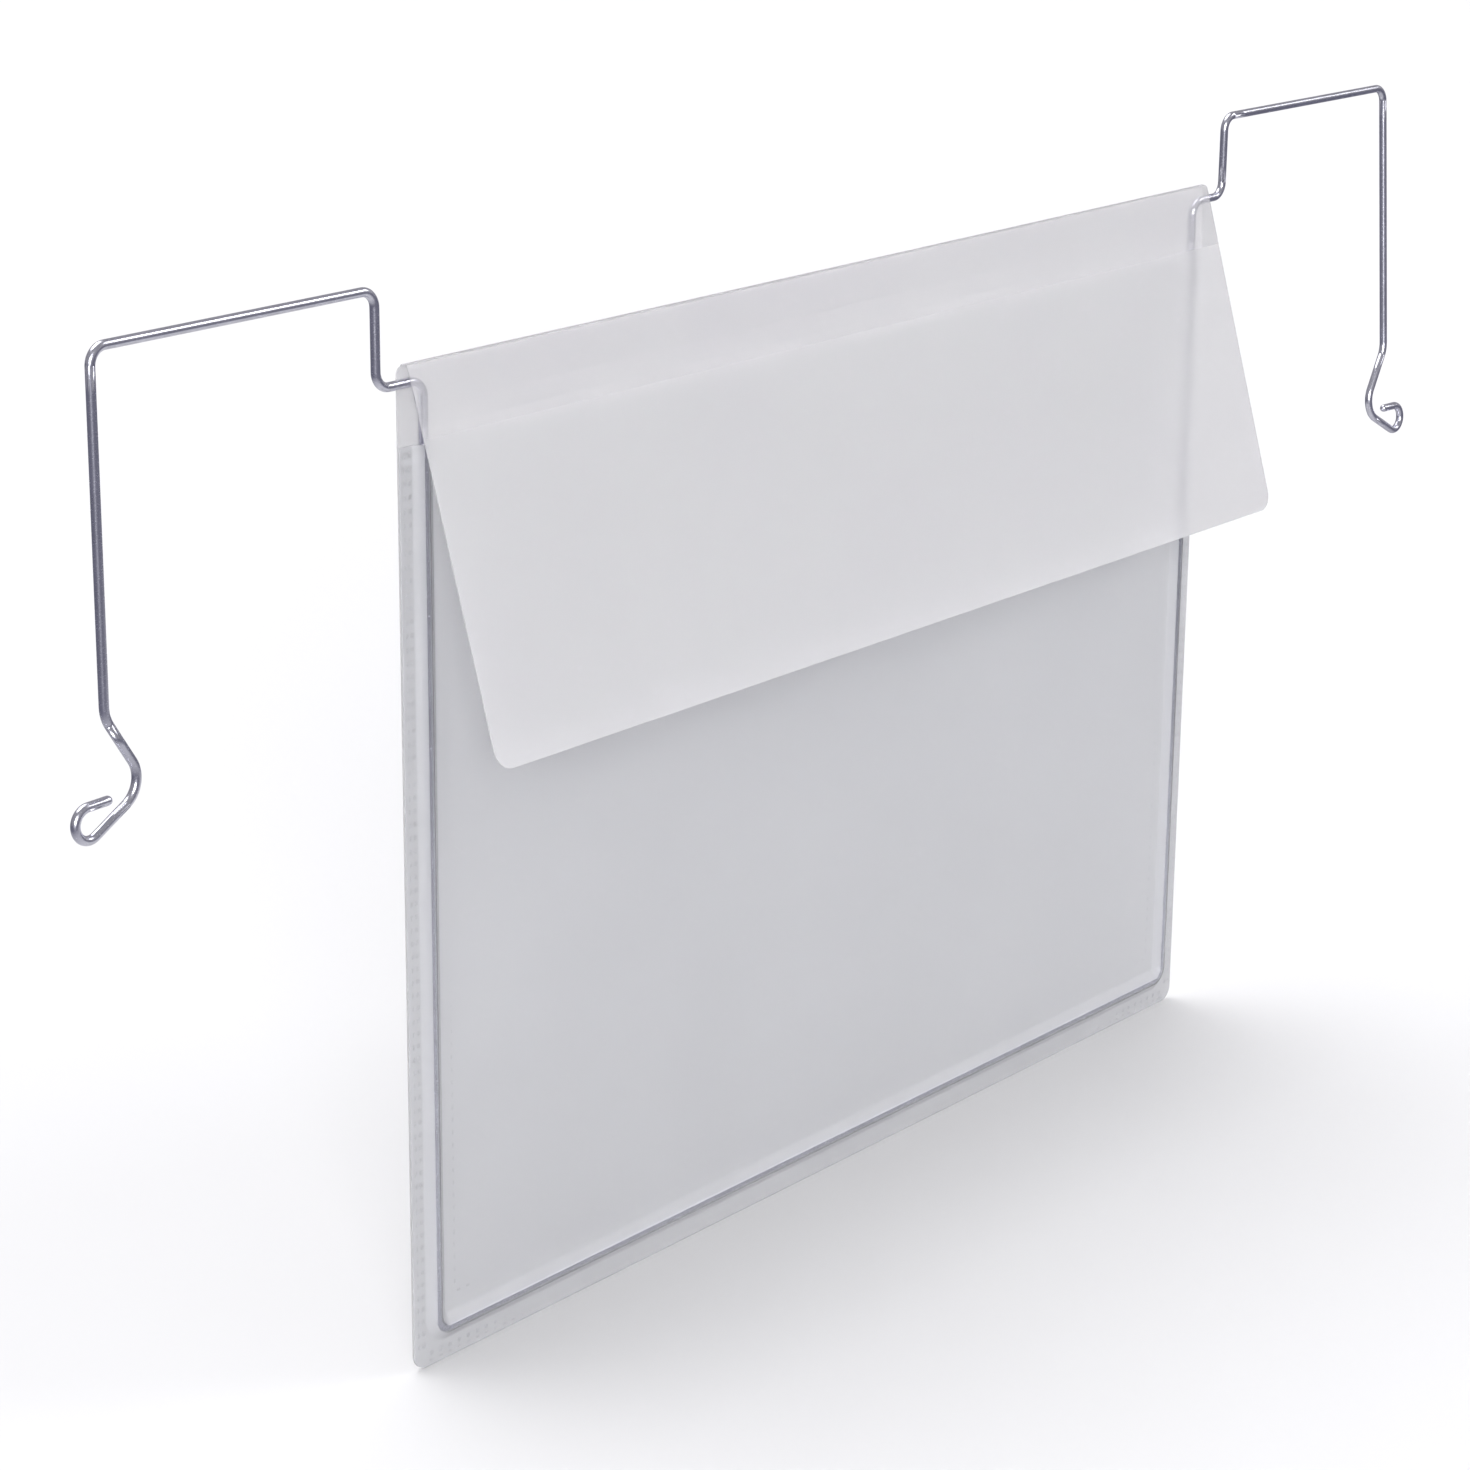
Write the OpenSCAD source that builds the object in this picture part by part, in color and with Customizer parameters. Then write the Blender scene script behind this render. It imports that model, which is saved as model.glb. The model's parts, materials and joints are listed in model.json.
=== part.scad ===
// Hanging document pocket: a film pocket with a folded rain flap, carried by one bent wire.
// Millimetres, +Z up, front towards -Y. The origin is at the centre of the rear face, where the
// pocket lies against what it hangs on.

/* [Film] */
// Width of the film, over both side edges
film_w = 330; // [300:1:400]
// Height of the film from its bottom edge to the fold
film_h = 248; // [225:1:320]
// Thickness of each film
film_t = 0.3; // [0.2:0.05:0.4]
// Radius of the two bottom corners
film_corner_r = 4; // [2:0.5:8]

/* [Pocket] */
// Depth of the mouth's edge below the fold
mouth_drop = 19; // [14:0.5:30]
// How far the empty front film stands off the back film at the mouth
mouth_gape = 6; // [5:0.25:7]
// Width over which the front film rises from each side seam
gusset_run = 30; // [20:1:60]

/* [Flap] */
// Width of the flap
flap_w = 327; // [290:1:330]
// Height of the flap, from the fold down to its free edge
flap_h = 90; // [60:1:140]
// Angle of the hanging flap from the vertical
flap_lean = 15; // [14:1:30]
// Angle from the vertical at which the flap leaves the fold's crest
crest_lean = 35; // [32:1:50]
// Outer radius of the fold's crest
crest_r = 3; // [2:0.25:5]
// Flat stretch of film between the crease and the crest
crest_flat = 1.1; // [0.6:0.1:2]
// Outer radius of the bend between the crest and the straight flap
shoulder_r = 20; // [10:1:30]
// Radius of the flap's two free corners
flap_corner_r = 5; // [1:0.5:15]
// Loss of thickness where the film is creased
crease_thinning = 0.02; // [0.01:0.01:0.05]
// Running clearance of the flap round the crease
crease_clear = 0.1; // [0.05:0.05:0.2]
// Gap between the flap's root and the crease's middle, which lets the flap turn right up
root_gap = 0.2; // [0.2:0.05:0.4]

/* [Seams] */
// Thickness of the melted layer that joins the two films
seam_t = 0.2; // [0.1:0.05:0.3]
// Distance of the outer seams from the film's edge
outer_seam_inset = 1; // [0.5:0.25:1.5]
// Width of the outer seams
outer_seam_w = 3; // [2:0.25:3]
// Distance of the inner side seams from the film's side edges
inner_seam_inset = 13.2; // [12:0.1:18]
// Height of the inner bottom seam above the film's bottom edge
inner_seam_rise = 15.5; // [13:0.1:20]
// Width of the inner seams
inner_seam_w = 2; // [1:0.25:4]

/* [Wire frame] */
// Diameter of the wire
wire_d = 2.2; // [1.8:0.1:2.4]
// Centre-line radius of the wire's right-angled bends
bend_r = 4; // [4:0.25:6]
// Loss of diameter where the wire is bent
bend_thinning = 0.04; // [0.02:0.01:0.1]
// Clearance between the wire and the films that it lies between
wire_clear = 0.1; // [0.05:0.05:0.2]
// Distance of the wire's legs from the film's side edges
leg_inset = 7.2; // [7:0.1:8]
// Height of the wire's bottom run above the film's bottom edge
run_rise = 8.6; // [7.5:0.1:9.5]
// Half the width of the channel that the front film makes over the wire
channel_half = 3.2; // [2.8:0.1:3.4]
// Depth below the fold at which the wire leaves the pocket
exit_drop = 4.2; // [4:0.1:6]

/* [Hooks] */
// Distance of the uprights from the film's side edges
upright_reach = 7.8; // [4:0.1:15]
// Height of the uprights, from the wire's exit to the bar
upright_h = 22.5; // [15:0.5:40]
// Length of each hook's bar, from the upright to the drop
bar_len = 83; // [40:1:120]
// Length of each hook's drop, from the bar to the kink
drop_len = 79.3; // [40:0.1:120]
// Turn of the kink, back towards the pocket
kink_turn = 33; // [10:1:60]
// Centre-line radius of the kink
kink_r = 8; // [4:0.5:15]
// Straight length between the kink and the toe
kink_len = 11; // [5:0.5:25]
// Turn of the toe, away from the pocket
toe_turn = 94; // [60:1:120]
// Centre-line radius of the toe
toe_r = 6.5; // [4:0.5:12]
// Straight length between the toe and the curl
toe_len = 10; // [8:0.5:20]
// Turn of the curl that keeps the wire's end from catching
curl_turn = 208; // [170:1:215]
// Centre-line radius of the curl
curl_r = 3.7; // [3:0.1:5]
// Straight length of the wire's end after the curl
tip_len = 5.5; // [2:0.5:6]
// Forward swing of the right hook about its upright
right_swing = 2; // [0:0.5:15]
// Forward lean of the right hook's drop about its bar
right_lean = 4; // [0:0.5:15]

/* [Hidden] */
$fn = 48;
// Flat steps along a bend of the film
arc_steps = 10;
// Overshoot of cutting shapes past the faces that they cut
over = 1;
// Overlap of the wire's straights with its bends
bend_lap = 0.05;
// Reach of the blank that the front film is cut from, forwards of the seam plane
blank_reach = mouth_gape + 4 * wire_d;

wire_r = wire_d / 2;
half_w = film_w / 2;

// Heights
fold_z = film_h / 2;
bottom_z = -film_h / 2;
mouth_z = fold_z - mouth_drop;
exit_z = fold_z - exit_drop;
run_z = bottom_z + run_rise;

// Depths, forwards from the rear face
wire_y = -film_t - wire_clear - wire_r;
seam_plane_y = -film_t - seam_t;

// Crease that the flap turns about, in the middle of the back film's rounded top edge
crease_y = -film_t / 2;
crease_z = fold_z - 1.5 * film_t - crease_clear;

// Wire's centre line
leg_x = half_w - leg_inset;
upright_x = half_w + upright_reach;

// Cross-section of the channel over the wire: its ridge is round and its flanks are tangent to it
ridge_r = wire_r + wire_clear;
ridge_rise = seam_plane_y - wire_y;
flank_angle = atan(ridge_rise / channel_half) + asin(ridge_r / norm([ridge_rise, channel_half]));

// Pocket between the inner seams
pocket_half = half_w - inner_seam_inset - inner_seam_w;
pocket_z = bottom_z + inner_seam_rise + inner_seam_w;
pocket_slope = atan(mouth_gape / (mouth_z - pocket_z));
gusset_slope = atan(mouth_gape / gusset_run);

// Point on the ridge's round, at an angle from its crown
function ridge_point(angle, skin) =
    [(ridge_r + skin) * sin(angle), ridge_rise + (ridge_r + skin) * cos(angle)];

// Bends of the flap, as headings below the horizontal
crest_turn = 90 - crest_lean;
skirt_turn = 90 - flap_lean;
bent_drop = crest_r * (1 - cos(crest_turn)) + shoulder_r * (cos(crest_turn) - cos(skirt_turn));
flap_straight = (flap_h - bent_drop) / sin(skirt_turn);

// Outward normal of the flap's outer face, where it heads below the horizontal by an angle
function face_normal(heading) = [sin(heading), cos(heading)];
crest_centre = [crest_flat, -crest_r];
shoulder_centre = crest_centre + (crest_r - shoulder_r) * face_normal(crest_turn);
skirt_run = flap_straight * [cos(skirt_turn), -sin(skirt_turn)];

// The flap's face, depth inside its outer face, from the root to the free edge
function flap_face(depth) = concat(
    [[0, -depth]],
    [for (i = [0:arc_steps]) crest_centre + (crest_r - depth) * face_normal(crest_turn * i / arc_steps)],
    [for (i = [1:arc_steps])
        shoulder_centre
        + (shoulder_r - depth) * face_normal(crest_turn + (skirt_turn - crest_turn) * i / arc_steps)],
    [shoulder_centre + (shoulder_r - depth) * face_normal(skirt_turn) + skirt_run]
);

// One half of the wire, from the middle of the bottom run to the hook's end.
// Each step is a straight length, then a turn, its radius, and a roll about the straight before it.
function half_wire(swing, lean) = [
    [leg_x - bend_r, 90, bend_r, 0],
    [exit_z - run_z - 2 * bend_r, -90, bend_r, 0],
    [upright_x - leg_x - 2 * bend_r, 90, bend_r, 0],
    [upright_h - 2 * bend_r, -90, bend_r, -swing],
    [bar_len - 2 * bend_r, -90, bend_r, -lean],
    [drop_len - bend_r - kink_r * tan(kink_turn / 2), -kink_turn, kink_r, 0],
    [kink_len, toe_turn, toe_r, 0],
    [toe_len, curl_turn, curl_r, 0],
];

// Carries its children to the end of a turn that starts at the origin, heading along +X
module after_turn(turn, r) {
    centre = [0, sign(turn) * r, 0];
    translate(centre) rotate([0, 0, turn]) translate(-centre) children();
}

// Bent rod through one turn in the plane z = 0, starting at the origin and heading along +X
module rod_turn(turn, r) {
    side = sign(turn);
    translate([0, side * r, 0])
        rotate([0, 0, min(turn, 0) - side * 90])
            rotate_extrude(angle = abs(turn))
                translate([r, 0])
                    circle(d = wire_d - bend_thinning);
}

// Rounded end of the wire
module wire_end() {
    rotate([0, 90, 0]) {
        translate([0, 0, -bend_lap]) cylinder(r = wire_r, h = tip_len + bend_lap);
        translate([0, 0, tip_len])
            rotate_extrude()
                intersection() {
                    circle(r = wire_r);
                    square(wire_r);
                }
    }
}

// Wire along a list of steps, then its rounded end
module bent_wire(steps, i = 0) {
    if (i == len(steps)) {
        wire_end();
    } else {
        length = steps[i][0];
        turn = steps[i][1];
        r = steps[i][2];
        rotate([steps[i][3], 0, 0]) {
            translate([i == 0 ? 0 : -bend_lap, 0, 0])
                rotate([0, 90, 0])
                    cylinder(r = wire_r, h = length + (i == 0 ? 1 : 2) * bend_lap);
            translate([length, 0, 0]) {
                rod_turn(turn, r);
                after_turn(turn, r) bent_wire(steps, i + 1);
            }
        }
    }
}

// Half of the wire, standing in the pocket's plane
module standing_half(swing, lean) {
    translate([0, wire_y, run_z]) rotate([90, 0, 0]) bent_wire(half_wire(swing, lean));
}

module wire_hanger() {
    color("slategray") {
        standing_half(right_swing, right_lean);
        mirror([1, 0, 0]) standing_half(0, 0);
    }
}

// Outline of a film: square at the top, round at the two bottom corners
module film_outline(width, low, high, r) {
    half = width / 2;
    translate([-half, low + r]) square([width, high - low - r]);
    translate([-half + r, low]) square([width - 2 * r, r]);
    for (side = [-1, 1])
        translate([side * (half - r), low + r])
            intersection() {
                circle(r);
                translate([side < 0 ? -r : 0, -r]) square(r);
            }
}

// Upright slab of a film's outline, from y_back forwards by depth
module film_slab(width, low, high, r, y_back, depth) {
    translate([0, y_back, 0])
        rotate([90, 0, 0])
            linear_extrude(depth)
                film_outline(width, low, high, r);
}

module back_sheet() {
    color("gainsboro") {
        film_slab(film_w, bottom_z, crease_z, film_corner_r, 0, film_t);
        translate([-half_w, crease_y, crease_z])
            rotate([0, 90, 0])
                cylinder(d = film_t - crease_thinning, h = film_w);
    }
}

// Section of the channel, grown outwards by skin: across the wire, and forwards of the seam plane
module channel_section(skin) {
    foot = channel_half + skin * tan(flank_angle / 2);
    ridge = [for (i = [0:arc_steps]) ridge_point(flank_angle * (1 - 2 * i / arc_steps), skin)];
    polygon(concat([[-foot, -over], [foot, -over], [foot, skin]], ridge, [[-foot, skin]]));
}

// Channel along the wire's two legs, its bottom run and the bends between them
module channel_form(skin) {
    for (side = [0, 1]) mirror([side, 0, 0]) {
        translate([leg_x, seam_plane_y, run_z + bend_r])
            linear_extrude(mouth_z + over - run_z - bend_r)
                mirror([0, 1]) channel_section(skin);
        translate([leg_x - bend_r, seam_plane_y, run_z + bend_r])
            rotate([90, 0, 0])
                rotate([0, 0, -90])
                    rotate_extrude(angle = 90)
                        translate([bend_r, 0]) channel_section(skin);
    }
    translate([bend_r - leg_x, seam_plane_y, run_z])
        rotate([90, 0, 90])
            linear_extrude(2 * (leg_x - bend_r))
                rotate(90) channel_section(skin);
}

// Room in the pocket, grown outwards by skin: it opens upwards, and closes towards the side seams
module pocket_form(skin) {
    high = mouth_z + over;
    low = pocket_z - skin * tan(pocket_slope / 2);
    lift = (high - pocket_z) * tan(pocket_slope) + skin / cos(pocket_slope);
    side = pocket_half + skin * tan(gusset_slope / 2);
    crown = pocket_half - (lift - skin / cos(gusset_slope)) / tan(gusset_slope);
    intersection() {
        translate([-side, seam_plane_y, 0])
            rotate([90, 0, 90])
                linear_extrude(2 * side)
                    polygon([[over, low], [-skin, low], [-lift, high], [over, high]]);
        translate([0, seam_plane_y, low])
            linear_extrude(high - low)
                polygon([
                    [-side, over], [-side, -skin], [-crown, -lift],
                    [crown, -lift], [side, -skin], [side, over],
                ]);
    }
}

module front_sheet() {
    color("lightgray")
        difference() {
            intersection() {
                film_slab(film_w, bottom_z, mouth_z, film_corner_r, seam_plane_y, blank_reach);
                union() {
                    film_slab(film_w, bottom_z, mouth_z, film_corner_r, seam_plane_y, film_t);
                    channel_form(film_t);
                    pocket_form(film_t);
                }
            }
            channel_form(0);
            pocket_form(0);
        }
}

// Side profile of the flap, forwards along +X: flat root, round crest, shoulder and straight skirt
module flap_profile() {
    outer = flap_face(0);
    inner = flap_face(film_t);
    polygon(concat(outer, [for (i = [len(inner) - 1:-1:0]) inner[i]]));
}

module flap() {
    depth = 2 * (flap_h + crest_flat);
    color("whitesmoke")
        intersection() {
            translate([-flap_w / 2, crease_y - root_gap, fold_z])
                rotate([90, 0, 90])
                    linear_extrude(flap_w)
                        mirror([1, 0]) flap_profile();
            film_slab(flap_w, fold_z - flap_h, fold_z + over, flap_corner_r, depth / 2, depth);
        }
}

// Melted strip between the films, given by its low and high corner in the pocket's plane
module seam(low, high) {
    color("silver")
        translate([low[0], seam_plane_y, low[1]])
            cube([high[0] - low[0], seam_t, high[1] - low[1]]);
}

// Right outer seam, from just above the round corner to the mouth
module outer_seam_right() {
    edge = half_w - outer_seam_inset;
    foot = max(film_corner_r, outer_seam_inset + outer_seam_w);
    seam([edge - outer_seam_w, bottom_z + foot], [edge, mouth_z]);
}

module outer_seam_left() {
    mirror([1, 0, 0]) outer_seam_right();
}

module outer_seam_bottom() {
    half = half_w - max(film_corner_r, outer_seam_inset + outer_seam_w);
    low = bottom_z + outer_seam_inset;
    seam([-half, low], [half, low + outer_seam_w]);
}

// Right inner seam, from the bottom inner seam to the mouth
module inner_seam_right() {
    seam([pocket_half, pocket_z], [pocket_half + inner_seam_w, mouth_z]);
}

module inner_seam_left() {
    mirror([1, 0, 0]) inner_seam_right();
}

module inner_seam_bottom() {
    half = pocket_half + inner_seam_w;
    seam([-half, pocket_z - inner_seam_w], [half, pocket_z]);
}

wire_hanger();
back_sheet();
front_sheet();
flap();
outer_seam_left();
outer_seam_right();
outer_seam_bottom();
inner_seam_left();
inner_seam_right();
inner_seam_bottom();
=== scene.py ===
"""Looks of a hanging document pocket: two frosted films round one bent wire, under a folded rain flap.

The CAD frame gives the places and sizes. Each operator makes one piece or one group of like pieces.
"""

import json
import math

import bmesh
import bpy
import numpy as np
from bpy.props import FloatProperty, FloatVectorProperty, PointerProperty
from mathutils import Matrix, Vector


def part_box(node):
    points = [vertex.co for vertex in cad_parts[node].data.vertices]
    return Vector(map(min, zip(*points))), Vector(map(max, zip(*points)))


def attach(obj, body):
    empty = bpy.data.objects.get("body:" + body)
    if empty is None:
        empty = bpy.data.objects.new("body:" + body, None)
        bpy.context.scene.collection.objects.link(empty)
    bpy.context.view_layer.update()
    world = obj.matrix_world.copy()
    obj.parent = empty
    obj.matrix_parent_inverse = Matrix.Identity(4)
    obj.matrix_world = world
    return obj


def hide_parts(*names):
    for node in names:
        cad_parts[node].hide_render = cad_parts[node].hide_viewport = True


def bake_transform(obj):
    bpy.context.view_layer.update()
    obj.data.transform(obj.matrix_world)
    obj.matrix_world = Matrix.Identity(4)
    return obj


bl_info = {
    "name": "Hanging document pocket",
    "version": (1, 0, 0),
    "blender": (4, 5, 0),
    "location": "View3D > Sidebar > Pocket",
    "description": "Films, seams, wire and stage of a hanging document pocket, built round its CAD frame",
    "category": "Add Mesh",
}

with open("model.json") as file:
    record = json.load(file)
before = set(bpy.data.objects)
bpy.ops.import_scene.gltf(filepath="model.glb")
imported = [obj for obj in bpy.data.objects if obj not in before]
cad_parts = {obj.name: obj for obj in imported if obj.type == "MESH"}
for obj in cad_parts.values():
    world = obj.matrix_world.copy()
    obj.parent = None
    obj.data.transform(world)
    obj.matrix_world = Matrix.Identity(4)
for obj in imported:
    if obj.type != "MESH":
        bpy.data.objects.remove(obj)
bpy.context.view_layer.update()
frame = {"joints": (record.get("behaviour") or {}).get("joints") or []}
MM = 0.001

# Distance under which two points of a mesh are one
MERGE = 1e-8
# Rows of the folded film: up its back, round its crease, along its flat, over its crest and shoulder,
# and down its skirt
BACK_ROWS, CREASE_ROWS, FLAT_ROWS, CREST_ROWS, SHOULDER_ROWS, SKIRT_ROWS = 96, 9, 6, 16, 18, 60
FILM_COLUMNS = 90
# Columns of half the front film in its middle, along the wire and in its margin, and its rows from below
FRONT_COLUMNS = (44, 44, 8)
FRONT_ROWS = (12, 44, 70)
# Reach of the front film's fine grid, outside and inside the wire's line
FINE_OUT, FINE_IN = 3.6 * MM, 8 * MM
# Rounding of the ridge's foot, of the gusset's edge, and of the bulge's border
FOOT_ROUND, GUSSET_ROUND, BULGE_ROUND = 0.3 * MM, 1.2 * MM, 0.4 * MM
# Points round a weld dash; width of its outer rings and reach of its poles, as shares of the full size
WELD_SIDES = 12
WELD_TAPER, WELD_POLE = 0.66, 1.15
# Longest step along the wire's straights, least turn of each step round a bend, points round the wire,
# and rows of a tip
WIRE_STEP, BEND_STEP = 6 * MM, math.radians(6)
WIRE_POINTS, TIP_ROWS = 25, 8

# Steps in which the flap grows clearer towards the fold
CLEAR_STEPS = 3
# How far the tint drifts from patch to patch, on a film and on a weld
FILM_DRIFT, WELD_DRIFT = 0.02, 0.03
# How far the roughness drifts, on a film and on the wire
HAZE_DRIFT, DULL_DRIFT = 0.05, 0.1
# Darkest and brightest zinc, as shares of its colour
ZINC_DARK, ZINC_BRIGHT = 0.8, 1.15
# Refraction and mirroring of the thin films, low so that they hardly shift or mirror anything
FILM_IOR, FILM_SPECULAR = 1.12, 0.15
# Patches and grains per metre, on a film and on the wire
FILM_PATCHES, FILM_GRAINS = 22.0, 900.0
WIRE_PATCHES, WIRE_GRAINS = 160.0, 2600.0
# Noise of the patches and of the grain
PATCH_NOISE = {"Detail": 3.0, "Roughness": 0.55}
GRAIN_NOISE = {"Detail": 2.0, "Roughness": 0.6}
# Depth of the grain, and its strength on a film and on the wire
GRAIN_DEPTH = 0.02 * MM
FILM_GRAIN, WIRE_GRAIN = 0.05, 0.2

# Bounces that light needs to pass through all the films
BOUNCES = 24
# Innermost and outermost ring of the floor in metres, number of rings, and points on each
FLOOR_FROM, FLOOR_TO, FLOOR_RINGS, FLOOR_POINTS = 0.2, 30, 12, 65
FLOOR_ROUGH, FLOOR_SPECULAR = 0.8, 0.1
# Width of the camera's frame in millimetres, and the farthest distance it sees in metres
SENSOR_WIDTH, VIEW_END = 36, 100

BACK_LOW, BACK_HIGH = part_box("back_sheet")
FRONT_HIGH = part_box("front_sheet")[1]
FLAP_LOW, FLAP_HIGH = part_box("flap")
SEAM_LOW, SEAM_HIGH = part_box("outer_seam_right")
INNER_LOW, INNER_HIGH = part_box("inner_seam_right")
RUN_LOW, RUN_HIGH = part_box("inner_seam_bottom")
EDGE_LOW, EDGE_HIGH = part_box("outer_seam_bottom")
CREASE = Vector(frame["joints"][0]["pos_m"])


def length(name, description, default):
    """A property for a length, in metres."""
    return FloatProperty(name=name, description=description, default=default, unit="LENGTH",
                         subtype="DISTANCE", precision=5)


def angle(name, description, degrees):
    """A property for an angle."""
    return FloatProperty(name=name, description=description, default=math.radians(degrees),
                         subtype="ANGLE", unit="ROTATION")


def colour(name, description, default):
    """A property for a linear colour."""
    return FloatVectorProperty(name=name, description=description, default=default, size=3,
                               subtype="COLOR", min=0, max=1)


def factor(name, description, default, high=1.0):
    """A property for a share or a plain number."""
    return FloatProperty(name=name, description=description, default=default, min=0, max=high)


def spot(name, description, default):
    """A property for a place."""
    return FloatVectorProperty(name=name, description=description, default=default, size=3,
                               subtype="TRANSLATION", unit="LENGTH")


class FilmSizes(bpy.types.PropertyGroup):
    """Sizes of the two films and the flap"""

    thickness: length("Film thickness", "Thickness of each film", BACK_HIGH.y - BACK_LOW.y)
    corner_r: length("Bottom corners", "Radius of the film's two bottom corners", 4 * MM)
    shoulder_in: length("Fold corners", "Rounding of the film's two corners at the fold", 2.5 * MM)
    crest_flat: length("Crest flat", "Flat stretch between the flap's root and its crest", 1.1 * MM)
    crest_r: length("Crest radius", "Outer radius of the fold's crest", 1.2 * MM)
    crest_lean: angle("Crest lean", "Angle from the vertical at which the flap leaves the crest", 21)
    shoulder_r: length("Shoulder radius", "Outer radius between the crest and the skirt", 20 * MM)
    flap_corner_r: length("Flap corners", "Radius of the flap's two free corners", 5 * MM)
    gape: length("Mouth gape", "How far the empty front film stands off at the mouth", 3.2 * MM)
    gusset: length("Gusset", "Width over which the front film rises from each side seam", 30 * MM)
    channel_half: length("Channel half", "Half the width of the front film's ridge over the wire", 3.2 * MM)
    touch_half: length("Touch half", "Half the width over which the front film lies on the wire", 1.02 * MM)
    close_rise: length("Close rise", "How far above the mouth the flap starts to grow clearer", 1.8 * MM)
    close_step: length("Close step", "Height of each step in which the flap grows clearer", 3.75 * MM)
    touch_low: length("Touch drop", "How far below the bottom run's middle the film lies on it", 0.28 * MM)


class SeamSizes(bpy.types.PropertyGroup):
    """Sizes of the knurled heat seals"""

    pitch: length("Pitch", "Distance from one weld dash to the next", 3.25 * MM)
    dash: length("Dash length", "Length of a weld dash along its seam", 1.7 * MM)
    broad: length("Broad row", "Width of the inner row of an outer seam's dashes", 1.7 * MM)
    narrow: length("Narrow row", "Width of the outer row of an outer seam's dashes", 0.8 * MM)
    proud: length("Rise", "How far a weld dash stands proud of the front film", 0.09 * MM)


class WireSizes(bpy.types.PropertyGroup):
    """Sizes of the bent wire"""

    diameter: length("Diameter", "Diameter of the wire", 2.2 * MM)
    bend_r: length("Bend radius", "Centre-line radius of the right-angled bends", 4 * MM)
    clear: length("Clearance", "Clearance between the wire and the films", 0.1 * MM)
    leg_x: length("Leg place", "Distance of each leg from the middle", 157.8 * MM)
    run_z: length("Run height", "Height of the bottom run", -115.4 * MM)
    exit_z: length("Exit height", "Height at which the wire leaves the pocket", 119.8 * MM)
    upright_x: length("Upright place", "Distance of each upright from the middle", 172.8 * MM)
    upright_h: length("Upright", "Height of each upright", 22.5 * MM)
    bar: length("Bar", "Length of each hook's bar", 83 * MM)
    drop: length("Drop", "Length of each hook's drop, down to the kink", 79.3 * MM)
    kink: length("Kink", "Straight length between the kink and the toe", 11 * MM)
    kink_r: length("Kink radius", "Centre-line radius of the kink", 8 * MM)
    kink_turn: angle("Kink turn", "Turn of the kink, back towards the pocket", 33)
    toe: length("Toe", "Straight length between the toe and the curl", 10 * MM)
    toe_r: length("Toe radius", "Centre-line radius of the toe", 6.5 * MM)
    toe_turn: angle("Toe turn", "Turn of the toe, away from the pocket", 94)
    curl_r: length("Curl radius", "Centre-line radius of the curl", 3.7 * MM)
    curl_turn: angle("Curl turn", "Turn of the curl that ends the wire", 208)
    tip: length("Tip", "Straight length after the curl", 5.5 * MM)
    right_swing: angle("Right swing", "Forward swing of the right hook about its upright", 2)
    right_lean: angle("Right lean", "Forward lean of the right hook's drop about its bar", 4)


class Finishes(bpy.types.PropertyGroup):
    """Colours and finishes"""

    film: colour("Film", "Tint of the folded film", (0.99, 0.98, 1.0))
    # The front film's tint is darker than the folded film's. This is painted shade: it darkens the pocket
    # below the brighter flap.
    front: colour("Front film", "Tint of the front film", (0.85, 0.855, 0.87))
    film_rough: factor("Film roughness", "Frosting of the films", 0.2)
    back_clear: factor("Folded film clearness", "Share of light through each face of the folded film", 0.74)
    front_clear: factor("Front film clearness", "Share of light through each face of the front film", 0.65)
    touch_rough: factor("Touch roughness", "Frosting of the film where it lies on the wire", 0.25)
    touch_clear: factor("Touch clearness", "Clearness of the film where it lies on the wire", 0.92)
    close_clear: factor("Close clearness", "Clearness of the flap at the fold, close to the wire", 0.83)
    weld: colour("Weld", "Tint of the weld dashes", (0.97, 0.97, 0.985))
    weld_clear: factor("Weld clearness", "Share of light through each face of a weld dash", 0.85)
    wire: colour("Wire", "Colour of the zinc-plated wire", (0.72, 0.72, 0.8))
    wire_rough: factor("Wire roughness", "Dullness of the wire", 0.24)


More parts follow.
